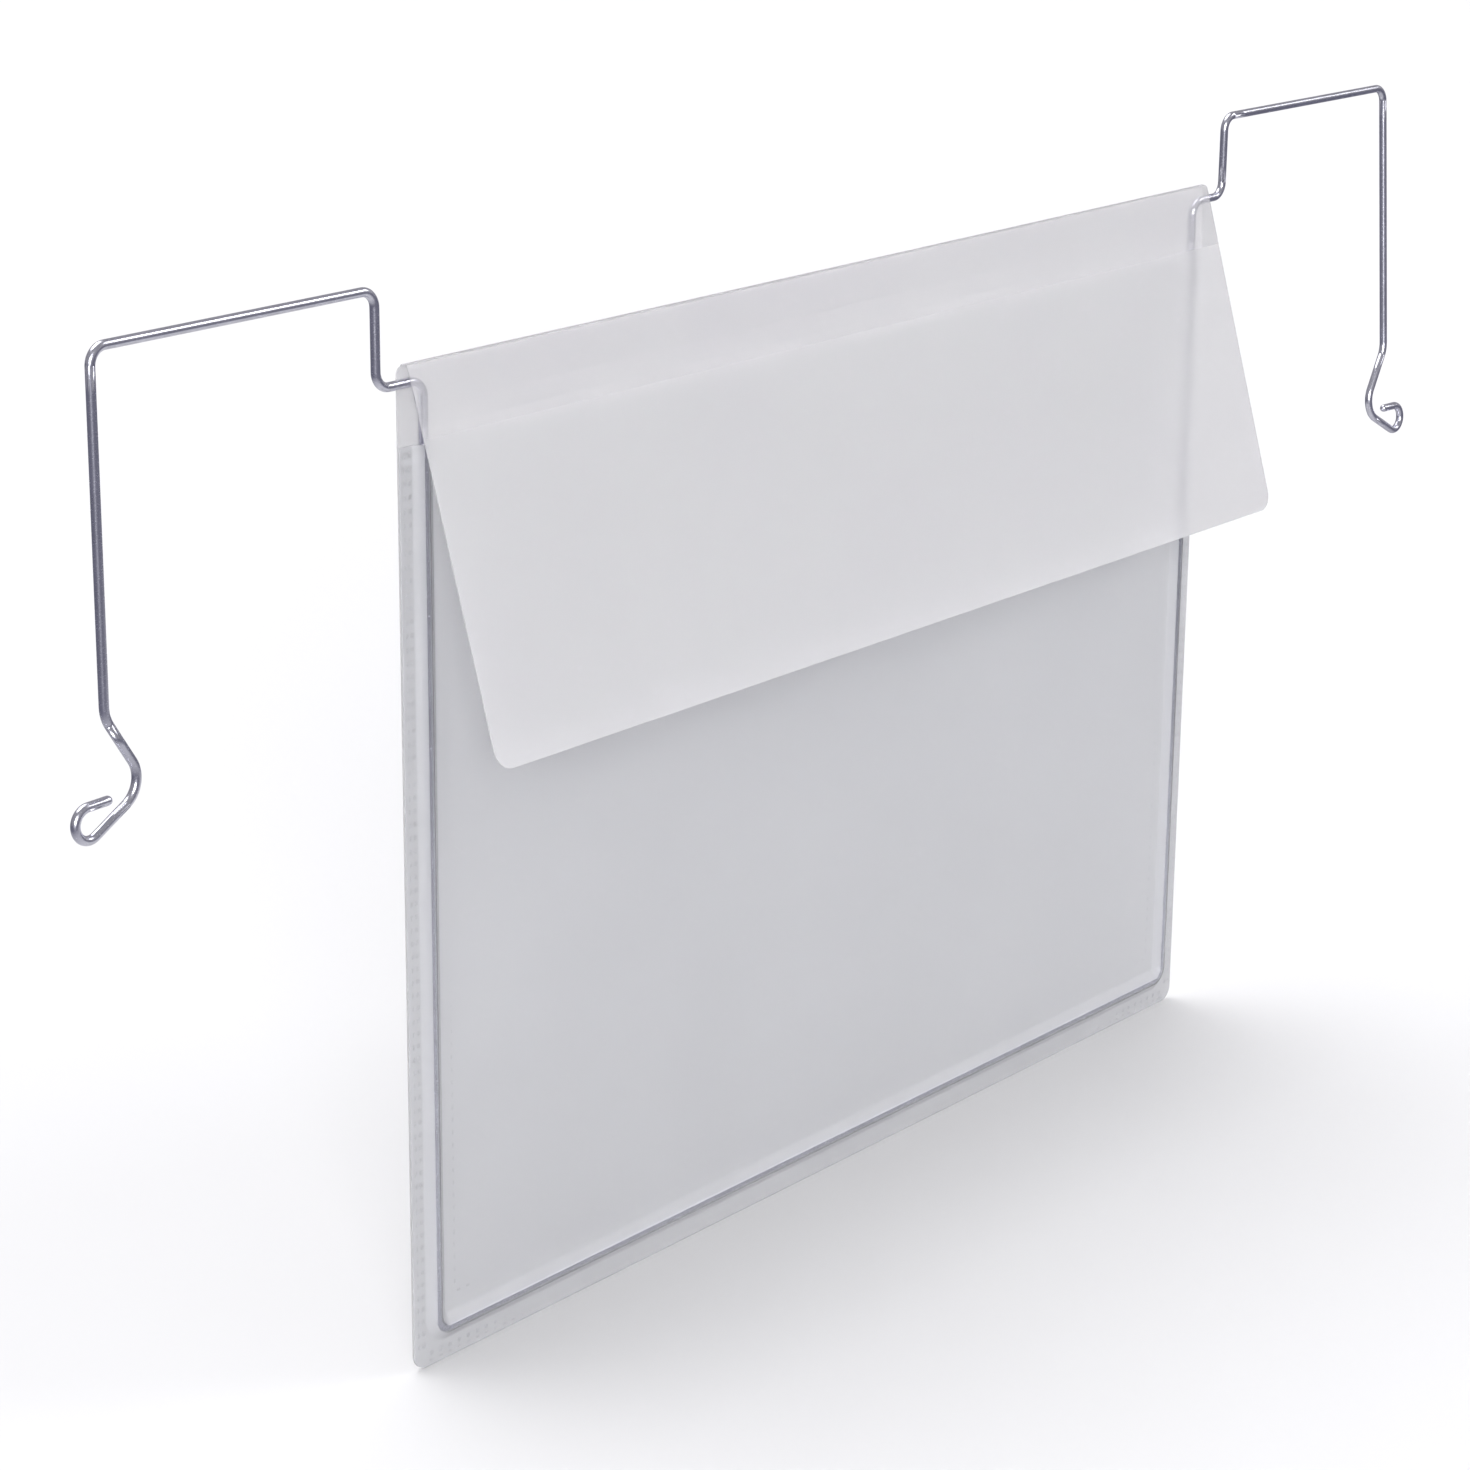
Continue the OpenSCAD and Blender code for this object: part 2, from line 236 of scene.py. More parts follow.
class StageSizes(bpy.types.PropertyGroup):
    """Camera, floor and lights"""

    lens: FloatProperty(name="Lens", description="Focal length on a 36 mm wide frame", default=96.33,
                        subtype="DISTANCE_CAMERA")
    camera: spot("Camera place", "Where the camera stands", (-0.7847, -0.6038, 0.3086))
    azimuth: angle("Azimuth", "Heading of the view, from straight at the front towards the right", 50.82)
    elevation: angle("Elevation", "How far the view looks down", 17.42)
    roll: angle("Roll", "Turn of the picture about the line of sight", 0.52)
    floor: colour("Floor", "Colour of the floor, as the camera sees it", (0.685, 0.685, 0.69))
    # The floor seen through the films is darker than the camera sees it. This is painted shade that greys the
    # films.
    floor_behind_painted_shade: colour("Floor behind", "Colour of the floor as seen through the films", (0.3, 0.3, 0.31))
    # As the wire mirrors it, the floor fades from pale near to dark far off, though the floor itself is
    # evenly pale. This is a painted reflection that gives the wire its dark edges.
    floor_near: colour("Floor near", "Colour of the near floor, as the wire mirrors it", (0.58, 0.58, 0.58))
    floor_far_painted_reflection: colour("Floor far off", "Colour of the far floor, as the wire mirrors it", (0.1, 0.1, 0.13))
    near_r: length("Near floor", "Distance up to which the mirrored floor is pale", 150 * MM)
    far_r: length("Far floor", "Distance from which the mirrored floor is dark", 600 * MM)
    floor_gap: length("Floor gap", "Height of the film's bottom edge above the floor", 0.15 * MM)
    overhead: factor("Overhead light", "Strength of the wide soft light above", 1.75, 20)
    overhead_spread: angle("Overhead spread", "Angle that the overhead light covers", 50)
    overhead_tilt: angle("Overhead tilt", "How far the overhead light stands behind the pocket", 21)
    left: factor("Left light", "Strength of the soft light at the front left", 2.5, 20)
    left_place: spot("Left place", "Where the left light stands", (-1.7, -1.58, 0.7))
    left_spread: angle("Left spread", "Angle that the left light covers", 28)
    right: factor("Right light", "Strength of the light at the front right, which the bars mirror", 0.5, 20)
    right_place: spot("Right place", "Where the right light stands", (1.85, -1.35, 1.45))
    right_spread: angle("Right spread", "Angle that the right light covers", 22)
    room: colour("Room", "Dim light of the room, which the wire mirrors", (0.33, 0.325, 0.345))
    room_soft: colour("Soft room", "Light of the room as it falls on matt surfaces", (0.685, 0.68, 0.705))


class PocketSettings(bpy.types.PropertyGroup):
    """All settings of the pocket"""

    film: PointerProperty(type=FilmSizes)
    seam: PointerProperty(type=SeamSizes)
    wire: PointerProperty(type=WireSizes)
    finish: PointerProperty(type=Finishes)
    stage: PointerProperty(type=StageSizes)


# Grids and meshes


def eased(low, high, count, at_low=True, at_high=True):
    """Numbers from low to high, closer together towards the ends that are named, on a cosine."""
    t = np.linspace(0, 1, count)
    if at_low and at_high:
        t = (1 - np.cos(np.pi * t)) / 2
    elif at_high:
        t = np.sin(np.pi * t / 2)
    elif at_low:
        t = 1 - np.cos(np.pi * t / 2)
    return low + (high - low) * t


def soft_max(a, b, reach):
    """The larger of two arrays, with the crease between them rounded over a reach: the mean plus half of the
    root of their squared difference and the squared reach."""
    return (a + b + np.sqrt((a - b) ** 2 + reach**2)) / 2


def soft_min(a, b, reach):
    """The smaller of two arrays, rounded in the same way."""
    return -soft_max(-a, -b, reach)


def round_end(half, r, from_end):
    """Half the width of a strip with a round corner of radius r: the full half away from the end, and a
    quarter circle closer to it than r."""
    inside = np.clip(r - from_end, 0, r)
    return half - r + np.sqrt(r**2 - inside**2)


def quads(rows, columns, first=0):
    """Corner numbers of the quads of a grid whose points are numbered row by row from first."""
    i = np.arange(rows - 1)[:, None] * columns + np.arange(columns - 1) + first
    return np.stack([i, i + 1, i + columns + 1, i + columns], -1).reshape(-1, 4)


def new_piece(name, points, faces, sharp_from=None):
    """A mesh object from points and quads or triangles, smooth up to the face number sharp_from, with its
    faces turned outwards and its doubles merged."""
    mesh = bpy.data.meshes.new(name)
    mesh.from_pydata(points, [], faces)
    smooth = np.ones(len(mesh.polygons), bool)
    if sharp_from is not None:
        smooth[sharp_from:] = False
    mesh.polygons.foreach_set("use_smooth", smooth)
    work = bmesh.new()
    work.from_mesh(mesh)
    bmesh.ops.remove_doubles(work, verts=work.verts, dist=MERGE)
    bmesh.ops.recalc_face_normals(work, faces=work.faces)
    work.to_mesh(mesh)
    work.free()
    mesh.validate()
    piece = bpy.data.objects.new(name, mesh)
    bpy.context.scene.collection.objects.link(piece)
    return piece


def slab(name, outer, inner):
    """A closed film between two grids of the same shape: both faces as quads, and a flat rim of quads along
    the four borders."""
    rows, columns = outer.shape[:2]
    count = rows * columns
    number = np.arange(count).reshape(rows, columns)
    border = np.concatenate([number[0], number[1:, -1], number[-1, -2::-1], number[-2:0:-1, 0]])
    after = np.roll(border, -1)
    rim = np.stack([border, after, after + count, border + count], -1)
    faces = np.concatenate([quads(rows, columns), quads(rows, columns, count), rim])
    points = np.concatenate([outer.reshape(-1, 3), inner.reshape(-1, 3)])
    return new_piece(name, points, faces, sharp_from=len(faces) - len(rim))


def face_centres(piece):
    """Centres of a piece's faces, as one array for each axis."""
    centres = np.empty(3 * len(piece.data.polygons))
    piece.data.polygons.foreach_get("center", centres)
    return centres.reshape(-1, 3).T


def grid_normals(grid):
    """Unit normals of a grid of points: the cross product of its steps along rows and columns."""
    normal = np.cross(np.gradient(grid, axis=1), np.gradient(grid, axis=0))
    return normal / np.linalg.norm(normal, axis=-1, keepdims=True)


# Films


def fold_line(film):
    """Side line of the folded film, from the bottom edge up the back, over the crest and down the flap.

    It goes straight up half a thickness in front of the rear face, turns forwards at the crease on a quarter
    circle, runs flat to the crest, and bends down on the crest's and the shoulder's circles to a straight
    skirt, which is the tangent from the free edge to the shoulder's circle. Returns arrays of the distance
    forwards, the height, the heading below the horizontal, and half the width at each row."""
    half_t = film.thickness / 2
    turn_r = FLAP_HIGH.z - half_t - CREASE.z
    crest_turn = math.pi / 2 - film.crest_lean
    root = -FLAP_HIGH.y + film.crest_flat
    crest_r, shoulder_r = film.crest_r - half_t, film.shoulder_r - half_t

    back_z = eased(BACK_LOW.z, CREASE.z, BACK_ROWS)
    back = np.stack([np.full_like(back_z, half_t), back_z, np.full_like(back_z, -math.pi / 2)])

    a = np.linspace(-math.pi / 2, 0, CREASE_ROWS)[1:]
    crease = np.stack([half_t + turn_r * (1 + np.sin(a)), CREASE.z + turn_r * np.cos(a), a])

    flat_f = np.linspace(half_t + turn_r, root, FLAT_ROWS)[1:-1]
    flat = np.stack([flat_f, np.full_like(flat_f, FLAP_HIGH.z - half_t), np.zeros_like(flat_f)])

    centre = np.array([root, FLAP_HIGH.z - film.crest_r])
    a = np.linspace(0, crest_turn, CREST_ROWS)
    crest = np.stack([centre[0] + crest_r * np.sin(a), centre[1] + crest_r * np.cos(a), a])

    out = np.array([math.sin(crest_turn), math.cos(crest_turn)])
    centre = centre + (film.crest_r - film.shoulder_r) * out
    free_edge = np.array([-FLAP_LOW.y - half_t, FLAP_LOW.z])
    reach = math.hypot(*(free_edge - centre))
    skirt_turn = math.atan2(*(free_edge - centre)) - math.acos(shoulder_r / reach)
    a = np.linspace(crest_turn, skirt_turn, SHOULDER_ROWS)[1:]
    shoulder = np.stack([centre[0] + shoulder_r * np.sin(a), centre[1] + shoulder_r * np.cos(a), a])

    skirt_z = eased(shoulder[1, -1], free_edge[1], SKIRT_ROWS, at_low=False)[1:]
    skirt = np.stack([
        shoulder[0, -1] + (shoulder[1, -1] - skirt_z) / math.tan(skirt_turn),
        skirt_z,
        np.full_like(skirt_z, skirt_turn),
    ])

    rows = np.concatenate([back, crease, flat, crest, shoulder, skirt], axis=1)
    back_half = round_end(BACK_HIGH.x, film.corner_r, back_z - BACK_LOW.z)
    ease = np.clip((back_z - CREASE.z + film.shoulder_in) / film.shoulder_in, 0, 1)
    back_half -= (BACK_HIGH.x - FLAP_HIGH.x) * (1 - np.sqrt(1 - ease**2))
    from_free_edge = np.hypot(*(rows[:2, len(back_z):] - rows[:2, -1:]))
    front_half = round_end(FLAP_HIGH.x, film.flap_corner_r, from_free_edge)
    return rows, np.concatenate([back_half, front_half])


def make_folded_film(film):
    """Back film and flap as one sheet: the side line carried across the width, thickened along its normals.
    The flap's faces towards the fold, closer and closer to the wire, get the further materials in steps."""
    (forward, height, heading), half = fold_line(film)
    x = half[:, None] * eased(-1, 1, FILM_COLUMNS)
    normal = np.stack([np.zeros_like(heading), -np.sin(heading), np.cos(heading)], -1)[:, None, :]
    middle = np.stack(np.broadcast_arrays(x, -forward[:, None], height[:, None]), -1)
    piece = slab("folded_film", middle + normal * film.thickness / 2, middle - normal * film.thickness / 2)
    _, y, z = face_centres(piece)
    grade = 1 + np.floor((z - FRONT_HIGH.z - film.close_rise) / film.close_step)
    grade = np.clip(grade, 0, CLEAR_STEPS) * (y < -2 * film.thickness)
    piece.data.polygons.foreach_set("material_index", grade.astype(np.int32))
    return piece


def off_wire(wire, x, z):
    """Distance in the pocket's plane from the wire's line: to the leg, to the bottom run, or to the quarter
    circle between them."""
    side, low = np.abs(x) - wire.leg_x + wire.bend_r, wire.run_z + wire.bend_r - z
    corner = np.hypot(np.maximum(side, 0), np.maximum(low, 0))
    inside = np.minimum(np.maximum(side, low), 0)
    return np.abs(corner + inside - wire.bend_r)


def ridge(film, wire, d):
    """Height of the film's middle above the seam plane at a distance from the wire: a circle round the wire,
    its tangents down to the foot, and a rounded foot."""
    centre = (-BACK_LOW.y + wire.clear + wire.diameter / 2) + SEAM_LOW.y
    inner = wire.diameter / 2 + wire.clear
    flank = math.atan2(centre, film.channel_half) + math.asin(inner / math.hypot(centre, film.channel_half))
    r, half_t = inner + film.thickness / 2, film.thickness / 2
    lean = r * math.sin(flank)
    crown = centre - half_t + np.sqrt(r**2 - np.minimum(d, lean) ** 2)
    sloped = crown - np.maximum(d - lean, 0) * math.tan(flank)
    return soft_max(sloped, 0, FOOT_ROUND)


def bulge(film, x, z):
    """How far the empty front film stands off: it grows straight with the height above the bottom seam, and
    with the distance from the side seam, the smaller of the two, rounded."""
    high = film.gape * (z - RUN_HIGH.z) / (FRONT_HIGH.z - RUN_HIGH.z)
    wide = film.gape * (INNER_LOW.x - np.abs(x)) / film.gusset
    return soft_max(soft_min(high, wide, GUSSET_ROUND), 0, BULGE_ROUND)


def make_front_film(film, wire):
    """Front film: an upright grid, finer along the wire, pushed forwards by the ridge and by the bulge. Faces
    that lie on the wire, by its touching half-width, get the second material."""
    edge, fine = wire.leg_x + FINE_OUT, wire.leg_x - FINE_IN
    right = np.concatenate([
        np.linspace(0, fine, FRONT_COLUMNS[0])[:-1],
        np.linspace(fine, edge, FRONT_COLUMNS[1])[:-1],
        eased(edge, BACK_HIGH.x, FRONT_COLUMNS[2], at_low=False),
    ])
    columns = np.concatenate([-right[:0:-1], right])
    low, high = wire.run_z - FINE_OUT, wire.run_z + FINE_IN
    rows = np.concatenate([
        eased(BACK_LOW.z, low, FRONT_ROWS[0], at_high=False)[:-1],
        np.linspace(low, high, FRONT_ROWS[1])[:-1],
        eased(high, FRONT_HIGH.z, FRONT_ROWS[2], at_low=False),
    ])
    half = round_end(BACK_HIGH.x, film.corner_r, rows - BACK_LOW.z)
    x = columns[None, :] * (half / BACK_HIGH.x)[:, None]
    z = np.broadcast_to(rows[:, None], x.shape)
    out = ridge(film, wire, off_wire(wire, x, z)) + bulge(film, x, z)
    middle = np.stack([x, SEAM_LOW.y - film.thickness / 2 - out, z], -1)
    normal = grid_normals(middle)
    piece = slab("front_film", middle + normal * film.thickness / 2, middle - normal * film.thickness / 2)
    face_x, _, face_z = face_centres(piece)
    on_wire = off_wire(wire, face_x, face_z + film.touch_low) < film.touch_half
    piece.data.polygons.foreach_set("material_index", on_wire.astype(np.int32))
    return piece


# Seams


def weld_dashes(name, centres, half_x, half_z, proud, film_t):
    """Weld dashes that go through the front film and into the back film's face: rounded blocks, each four
    rings of a rounded rectangle between two poles, on a superellipse of the fourth power in the pocket's
    plane."""
    around = np.linspace(0, 2 * np.pi, WELD_SIDES, endpoint=False)
    outline = np.stack([np.cos(around), np.sin(around)], -1)
    outline /= (np.abs(outline) ** 4).sum(-1, keepdims=True) ** 0.25
    front, rear = SEAM_LOW.y - film_t, SEAM_HIGH.y
    grow = np.array([WELD_TAPER, 1, 1, WELD_TAPER])
    depth = np.array([front - proud, front + proud / 2, rear - proud / 2, rear + proud])
    ring = np.stack(np.broadcast_arrays(
        grow[:, None] * outline[:, 0] * half_x, depth[:, None], grow[:, None] * outline[:, 1] * half_z), -1)
    poles = np.array([[0, front - proud * WELD_POLE, 0], [0, rear + proud * WELD_POLE, 0]])
    block = np.concatenate([ring.reshape(-1, 3), poles])
    n = len(around)
    place = np.arange(n)
    after = (place + 1) % n
    sides = np.concatenate([np.stack([place, after, after + n, place + n], -1) + k * n for k in range(3)])
    caps = np.concatenate([
        np.stack([after, place, np.full(n, 4 * n)], -1),
        np.stack([place + 3 * n, after + 3 * n, np.full(n, 4 * n + 1)], -1),
    ])
    first = np.arange(len(centres))[:, None, None] * len(block)
    points = (centres[:, None, :] + block).reshape(-1, 3)
    side_faces = (sides + first).reshape(-1, 4).tolist()
    cap_faces = (caps + first).reshape(-1, 3).tolist()
    return new_piece(name, points, side_faces + cap_faces)


def row_places(low, high, pitch):
    """Places of the dashes along a seam from low to high, a pitch apart and centred on it."""
    count = int((high - low) / pitch)
    return (low + high) / 2 + (np.arange(count) - (count - 1) / 2) * pitch


def upright_row(x, low, high, pitch):
    """Centres of a row of dashes up a side seam."""
    z = row_places(low, high, pitch)
    return np.stack([np.full_like(z, x), np.zeros_like(z), z], -1)


def level_row(z, low, high, pitch):
    """Centres of a row of dashes along a bottom seam."""
    x = row_places(low, high, pitch)
    return np.stack([x, np.zeros_like(x), np.full_like(x, z)], -1)


# Wire


def wire_steps(wire, swing, lean):
    """Steps of half the wire from the middle of the bottom run: straight length, turn, radius, and roll about
    the straight."""
    quarter, r = math.pi / 2, wire.bend_r
    return [
        (wire.leg_x - r, quarter, r, 0),
        (wire.exit_z - wire.run_z - 2 * r, -quarter, r, 0),
        (wire.upright_x - wire.leg_x - 2 * r, quarter, r, 0),
        (wire.upright_h - 2 * r, -quarter, r, -swing),
        (wire.bar - 2 * r, -quarter, r, -lean),
        (wire.drop - r - wire.kink_r * math.tan(wire.kink_turn / 2), -wire.kink_turn, wire.kink_r, 0),
        (wire.kink, wire.toe_turn, wire.toe_r, 0),
        (wire.toe, wire.curl_turn, wire.curl_r, 0),
        (wire.tip, 0, 0, 0),
    ]


def half_path(steps, start):
    """Centre line of half the wire, with two unit vectors across it at each point.

    Each step goes straight along the heading, then round a circle in the plane of the heading and the first
    vector across, after both vectors have rolled about the heading. Returns the last heading, too."""
    point = np.array(start)
    ahead, across, aside = np.array([1.0, 0, 0]), np.array([0, 0, 1.0]), np.array([0, -1.0, 0])
    points, firsts, seconds = [], [], []
    for straight, turn, r, roll in steps:
        across, aside = (math.cos(roll) * across + math.sin(roll) * aside,
                         math.cos(roll) * aside - math.sin(roll) * across)
        count = max(2, int(straight / WIRE_STEP) + 2)
        along = np.linspace(0, straight, count)[:, None]
        points.append(point + ahead * along)
        firsts.append(np.broadcast_to(across, (count, 3)))
        seconds.append(np.broadcast_to(aside, (count, 3)))
        point = point + ahead * straight
        if r:
            side = math.copysign(1, turn)
            count = max(6, int(abs(turn) / BEND_STEP))
            a = np.linspace(0, turn, count + 1)[1:, None]
            centre = point + side * r * across
            points.append(centre - side * r * (np.cos(a) * across - np.sin(a) * ahead))
            firsts.append(np.cos(a) * across - np.sin(a) * ahead)
            seconds.append(np.broadcast_to(aside, (count, 3)))
            point = points[-1][-1]
            ahead, across = (math.cos(turn) * ahead + math.sin(turn) * across,
                             math.cos(turn) * across - math.sin(turn) * ahead)
    return np.concatenate(points), np.concatenate(firsts), np.concatenate(seconds), ahead


def make_wire(wire):
    """The whole wire as one tube: a circle carried along the left half, backwards, and the right half. On
    each tip it goes on by the sine of an angle while its radius shrinks with the cosine, to a round end."""
    depth = BACK_LOW.y - wire.clear - wire.diameter / 2
    start = (0.0, depth, wire.run_z)
    r = wire.diameter / 2
    halves = []
    for swing, lean, mirror in ((0, 0, -1), (wire.right_swing, wire.right_lean, 1)):
        points, first, second, ahead = half_path(wire_steps(wire, swing, lean), start)
        a = np.linspace(0, math.pi / 2, TIP_ROWS)[1:]
        points = np.concatenate([points, points[-1] + ahead * (r * np.sin(a))[:, None]])
        first = np.concatenate([first, np.repeat(first[-1:], len(a), 0)])
        second = np.concatenate([second, np.repeat(second[-1:], len(a), 0)])
        radius = np.concatenate([np.full(len(points) - len(a), r), r * np.cos(a)])
        flip = np.array([mirror, 1, 1])
        halves.append([points * flip, first * flip, second * flip, radius])
    left, right = halves
    points, first, second = (np.concatenate([left[k][:0:-1], right[k]]) for k in range(3))
    radius = np.concatenate([left[3][:0:-1], right[3]])
    around = np.linspace(0, 2 * np.pi, WIRE_POINTS)
    ring = (np.cos(around)[:, None] * first[:, None, :] + np.sin(around)[:, None] * second[:, None, :])
    tube = points[:, None, :] + radius[:, None, None] * ring
    return new_piece("wire", tube.reshape(-1, 3), quads(*tube.shape[:2]))


# Materials


def new_material(name):
    """A material with its Principled shader, and its node tree."""
    made = bpy.data.materials.new(name)
    made.use_nodes = True
    tree = made.node_tree
    return made, tree, tree.nodes["Principled BSDF"]


def node(tree, kind, **values):
    """A node whose named inputs or properties get these values."""
    made = tree.nodes.new(kind)
    for name, value in values.items():
        label = name.replace("_", " ")
        if label in made.inputs:
            made.inputs[label].default_value = value
        else:
            setattr(made, name, value)
    return made


def frost_group():
    """Frosting of a film: cloudy patches and a fine grain, on Object coordinates."""
    group = bpy.data.node_groups.new("Film frost", "ShaderNodeTree")
    face = group.interface
    for name, default in (("Patch size", FILM_PATCHES), ("Grain size", FILM_GRAINS)):
        face.new_socket(name, in_out="INPUT", socket_type="NodeSocketFloat").default_value = default
    for name in ("Patches", "Grain"):
        face.new_socket(name, in_out="OUTPUT", socket_type="NodeSocketFloat")
    enter, leave = group.nodes.new("NodeGroupInput"), group.nodes.new("NodeGroupOutput")
    place = group.nodes.new("ShaderNodeTexCoord")
    patches = node(group, "ShaderNodeTexNoise", **PATCH_NOISE)
    grain = node(group, "ShaderNodeTexNoise", **GRAIN_NOISE)
    for noise, size in ((patches, "Patch size"), (grain, "Grain size")):
        group.links.new(place.outputs["Object"], noise.inputs["Vector"])
        group.links.new(enter.outputs[size], noise.inputs["Scale"])
    group.links.new(patches.outputs["Fac"], leave.inputs["Patches"])
    group.links.new(grain.outputs["Fac"], leave.inputs["Grain"])
    return group


def shared_frost():
    """The frost group, made once."""
    return bpy.data.node_groups.get("Film frost") or frost_group()


def frosted(name, tint, rough, clear, spread):
    """Frosted film or weld: a see-through shader whose tint and roughness drift in patches, under a fine
    grain. Spread is how far the tint drifts."""
    made, tree, shader = new_material(name)
    frost = tree.nodes.new("ShaderNodeGroup")
    frost.node_tree = shared_frost()
    drift = node(tree, "ShaderNodeMix", data_type="RGBA")
    drift.inputs["A"].default_value = (*[c * (1 - spread) for c in tint], 1)
    drift.inputs["B"].default_value = (*[min(1, c * (1 + spread)) for c in tint], 1)
    tree.links.new(frost.outputs["Patches"], drift.inputs["Factor"])
    tree.links.new(drift.outputs["Result"], shader.inputs["Base Color"])
    haze = node(tree, "ShaderNodeMapRange")
    haze.inputs["To Min"].default_value = rough - HAZE_DRIFT
    haze.inputs["To Max"].default_value = rough + HAZE_DRIFT
    tree.links.new(frost.outputs["Patches"], haze.inputs["Value"])
    tree.links.new(haze.outputs["Result"], shader.inputs["Roughness"])
    bump = node(tree, "ShaderNodeBump", Strength=FILM_GRAIN, Distance=GRAIN_DEPTH)
    tree.links.new(frost.outputs["Grain"], bump.inputs["Height"])
    tree.links.new(bump.outputs["Normal"], shader.inputs["Normal"])
    shader.inputs["Transmission Weight"].default_value = clear
    shader.inputs["IOR"].default_value = FILM_IOR
    shader.inputs["Specular IOR Level"].default_value = FILM_SPECULAR
    return made


def zinc(finish):
    """Zinc-plated drawn wire: a metal with a cloudy bloom and fine speckle in its roughness and tint."""
    made, tree, shader = new_material("Zinc wire")
    frost = tree.nodes.new("ShaderNodeGroup")
    frost.node_tree = shared_frost()
    frost.inputs["Patch size"].default_value = WIRE_PATCHES
    frost.inputs["Grain size"].default_value = WIRE_GRAINS
    tint = node(tree, "ShaderNodeMix", data_type="RGBA")
    tint.inputs["A"].default_value = (*[c * ZINC_DARK for c in finish.wire], 1)
    tint.inputs["B"].default_value = (*[min(1, c * ZINC_BRIGHT) for c in finish.wire], 1)
    tree.links.new(frost.outputs["Patches"], tint.inputs["Factor"])
    tree.links.new(tint.outputs["Result"], shader.inputs["Base Color"])
    dull = node(tree, "ShaderNodeMapRange")
    dull.inputs["To Min"].default_value = finish.wire_rough - DULL_DRIFT
    dull.inputs["To Max"].default_value = finish.wire_rough + DULL_DRIFT
    tree.links.new(frost.outputs["Grain"], dull.inputs["Value"])
    tree.links.new(dull.outputs["Result"], shader.inputs["Roughness"])
    bump = node(tree, "ShaderNodeBump", Strength=WIRE_GRAIN, Distance=GRAIN_DEPTH)
    tree.links.new(frost.outputs["Grain"], bump.inputs["Height"])
    tree.links.new(bump.outputs["Normal"], shader.inputs["Normal"])
    shader.inputs["Metallic"].default_value = 1.0
    return made


# Operators


class POCKET_OT_folded_film(bpy.types.Operator):
    """Back film and rain flap, one sheet that bends at the crease"""

    bl_idname = "pocket.folded_film"
    bl_label = "Folded film"

    def execute(self, context):
        settings = context.scene.pocket
        finish = settings.finish
        piece = make_folded_film(settings.film)
        for step, clear in enumerate(np.linspace(finish.back_clear, finish.close_clear, CLEAR_STEPS + 1)):
            name = f"Flap towards the fold {step}" if step else "Folded film"
            made = frosted(name, finish.film, finish.film_rough, float(clear), FILM_DRIFT)
            piece.data.materials.append(made)
        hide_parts("back_sheet", "flap")
        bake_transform(piece)
        return {"FINISHED"}


class POCKET_OT_front_film(bpy.types.Operator):
    """Front film, drawn over the wire and open at the mouth"""

    bl_idname = "pocket.front_film"
    bl_label = "Front film"

    def execute(self, context):
        settings = context.scene.pocket
        finish = settings.finish
        piece = make_front_film(settings.film, settings.wire)
        # Both front film materials take the darker front tint, painted shade that darkens the pocket against
        # the flap.
        piece.data.materials.append(
            frosted("Front film", finish.front, finish.film_rough, finish.front_clear, FILM_DRIFT))
        piece.data.materials.append(
            frosted("Film on the wire", finish.front, finish.touch_rough, finish.touch_clear, FILM_DRIFT))
        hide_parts("front_sheet")
        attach(piece, "pocket")
        return {"FINISHED"}


class POCKET_OT_seams(bpy.types.Operator):
    """Knurled heat seals outside and inside the wire"""

    bl_idname = "pocket.seams"
    bl_label = "Seams"

    def execute(self, context):
        settings = context.scene.pocket
        seam, film, finish = settings.seam, settings.film, settings.finish
        weld = frosted("Weld", finish.weld, finish.film_rough, finish.weld_clear, WELD_DRIFT)
        side_broad = SEAM_LOW.x + seam.broad / 2
        side_narrow = SEAM_HIGH.x - seam.narrow / 2
        foot_broad = EDGE_HIGH.z - seam.broad / 2
        foot_narrow = EDGE_LOW.z + seam.narrow / 2
        inner_x = (INNER_LOW.x + INNER_HIGH.x) / 2
        inner_z = (RUN_LOW.z + RUN_HIGH.z) / 2
        span = (SEAM_LOW.z, SEAM_HIGH.z, seam.pitch)
        inner_span = (INNER_LOW.z, INNER_HIGH.z, seam.pitch)
        dash, broad, narrow = seam.dash / 2, seam.broad / 2, seam.narrow / 2
        made = []
        for side, word in ((-1, "left"), (1, "right")):
            rows = [(upright_row(side * side_broad, *span), broad, dash, "broad"),
                    (upright_row(side * side_narrow, *span), narrow, dash, "narrow")]
            made += [(f"weld_{word}_{tag}", c, hx, hz, f"outer_seam_{word}") for c, hx, hz, tag in rows]
            made.append((f"weld_{word}_inner", upright_row(side * inner_x, *inner_span), narrow, dash,
                         f"inner_seam_{word}"))
        made += [
            ("weld_bottom_broad", level_row(foot_broad, EDGE_LOW.x, EDGE_HIGH.x, seam.pitch), dash, broad,
             "outer_seam_bottom"),
            ("weld_bottom_narrow", level_row(foot_narrow, EDGE_LOW.x, EDGE_HIGH.x, seam.pitch), dash, narrow,
             "outer_seam_bottom"),
            ("weld_bottom_inner", level_row(inner_z, RUN_LOW.x, RUN_HIGH.x, seam.pitch), dash, narrow,
             "inner_seam_bottom"),
        ]
        for name, centres, half_x, half_z, stands_for in made:
            piece = weld_dashes(name, centres, half_x, half_z, seam.proud, film.thickness)
            piece.data.materials.append(weld)
            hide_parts(stands_for)
            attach(piece, "pocket")
        return {"FINISHED"}


class POCKET_OT_wire(bpy.types.Operator):
    """The one bent wire that carries the pocket"""

    bl_idname = "pocket.wire"
    bl_label = "Wire"

    def execute(self, context):
        settings = context.scene.pocket
        piece = make_wire(settings.wire)
        piece.data.materials.append(zinc(settings.finish))
        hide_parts("wire_hanger")
        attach(piece, "pocket")
        return {"FINISHED"}


